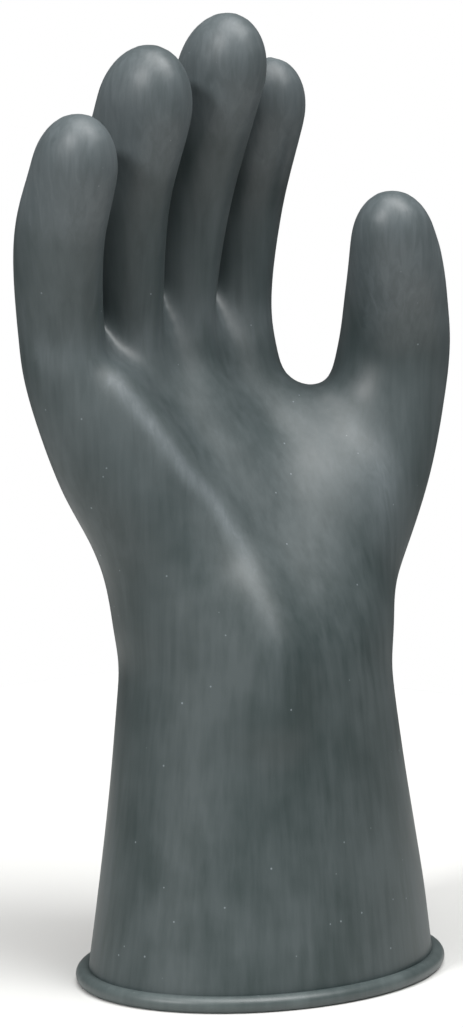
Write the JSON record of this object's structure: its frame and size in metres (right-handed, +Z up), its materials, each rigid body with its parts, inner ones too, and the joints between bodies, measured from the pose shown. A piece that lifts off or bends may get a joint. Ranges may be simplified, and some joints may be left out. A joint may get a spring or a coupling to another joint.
{
  "type": "insulating glove",
  "caption": "Right-hand electrical insulating glove: seamless dipped rubber film with curved digits, a flared cuff and a rolled bead, standing on its bead.",
  "frame": {"origin": "on the surface the glove stands on, under the middle of its bounding box; the centre of the cuff's oval is 1.45 mm from it towards the thumb", "axes": "+Z up, from the bead to the fingertips; the palm faces -Y; +X towards the thumb"},
  "size_m": [0.1416, 0.0968, 0.28],
  "materials": {
    "rubber_film": "satin, with a powdery bloom",
    "rolled_bead": "satin",
    "marking_patch": "matte, blank"
  },
  "bodies": {
    "cuff": {"cuff_bead": "rolled_bead", "cuff_film": "rubber_film", "class_label": "marking_patch", "wrist_band": "rubber_film"},
    "hand": {"palm_shell": "rubber_film", "index_root_band": "rubber_film", "middle_root_band": "rubber_film", "ring_root_band": "rubber_film", "little_root_band": "rubber_film", "thumb_root_band": "rubber_film"},
    "index_base": {"index_base": "rubber_film", "index_mid_band": "rubber_film"},
    "index_tip": {"index_tip": "rubber_film"},
    "middle_base": {"middle_base": "rubber_film", "middle_mid_band": "rubber_film"},
    "middle_tip": {"middle_tip": "rubber_film"},
    "ring_base": {"ring_base": "rubber_film", "ring_mid_band": "rubber_film"},
    "ring_tip": {"ring_tip": "rubber_film"},
    "little_base": {"little_base": "rubber_film", "little_mid_band": "rubber_film"},
    "little_tip": {"little_tip": "rubber_film"},
    "thumb_base": {"thumb_base": "rubber_film", "thumb_mid_band": "rubber_film"},
    "thumb_tip": {"thumb_tip": "rubber_film"}
  },
  "joints": [
    {"name": "wrist_bend", "type": "hinge", "parent": "cuff", "child": "hand", "pos_m": [-0.00005, 0.002, 0.101], "axis": [1, 0, 0], "range_deg": [-30, 30], "stiffness_Nm_per_rad": 0.9, "deforming": ["wrist_band"]},
    {"name": "index_root_flex", "type": "hinge", "parent": "hand", "child": "index_base", "pos_m": [0.02127, 0.02893, 0.207], "axis": [0.9938, 0.0042, -0.111], "range_deg": [-10, 45], "stiffness_Nm_per_rad": 0.06, "deforming": ["index_root_band"]},
    {"name": "index_mid_flex", "type": "hinge", "parent": "index_base", "child": "index_tip", "pos_m": [0.02228, 0.02435, 0.233], "axis": [0.9968, -0.0285, 0.0752], "range_deg": [-5, 50], "stiffness_Nm_per_rad": 0.03, "deforming": ["index_mid_band"]},
    {"name": "middle_root_flex", "type": "hinge", "parent": "hand", "child": "middle_base", "pos_m": [-0.00492, 0.02879, 0.208], "axis": [0.9956, 0.0062, -0.0931], "range_deg": [-10, 45], "stiffness_Nm_per_rad": 0.06, "deforming": ["middle_root_band"]},
    {"name": "middle_mid_flex", "type": "hinge", "parent": "middle_base", "child": "middle_tip", "pos_m": [-0.00376, 0.02209, 0.238], "axis": [0.9992, -0.0158, 0.0375], "range_deg": [-5, 50], "stiffness_Nm_per_rad": 0.03, "deforming": ["middle_mid_band"]},
    {"name": "ring_root_flex", "type": "hinge", "parent": "hand", "child": "ring_base", "pos_m": [-0.02955, 0.02856, 0.205], "axis": [0.9978, -0.0056, 0.0658], "range_deg": [-10, 45], "stiffness_Nm_per_rad": 0.06, "deforming": ["ring_root_band"]},
    {"name": "ring_mid_flex", "type": "hinge", "parent": "ring_base", "child": "ring_tip", "pos_m": [-0.03154, 0.02331, 0.2325], "axis": [0.9973, -0.0258, 0.0684], "range_deg": [-5, 50], "stiffness_Nm_per_rad": 0.03, "deforming": ["ring_mid_band"]},
    {"name": "little_root_flex", "type": "hinge", "parent": "hand", "child": "little_base", "pos_m": [-0.05437, 0.02754, 0.199], "axis": [0.9759, -0.0281, 0.2162], "range_deg": [-10, 45], "stiffness_Nm_per_rad": 0.06, "deforming": ["little_root_band"]},
    {"name": "little_mid_flex", "type": "hinge", "parent": "little_base", "child": "little_tip", "pos_m": [-0.05888, 0.02057, 0.224], "axis": [0.9945, -0.0448, 0.0943], "range_deg": [-5, 50], "stiffness_Nm_per_rad": 0.03, "deforming": ["little_mid_band"]},
    {"name": "thumb_root_flex", "type": "hinge", "parent": "hand", "child": "thumb_base", "pos_m": [0.05411, -0.00563, 0.178], "axis": [0.7052, -0.6942, -0.1441], "range_deg": [-10, 30], "stiffness_Nm_per_rad": 0.06, "deforming": ["thumb_root_band"]},
    {"name": "thumb_mid_flex", "type": "hinge", "parent": "thumb_base", "child": "thumb_tip", "pos_m": [0.04789, -0.01212, 0.201], "axis": [0.6799, -0.7313, 0.0543], "range_deg": [-5, 45], "stiffness_Nm_per_rad": 0.03, "deforming": ["thumb_mid_band"]}
  ]
}
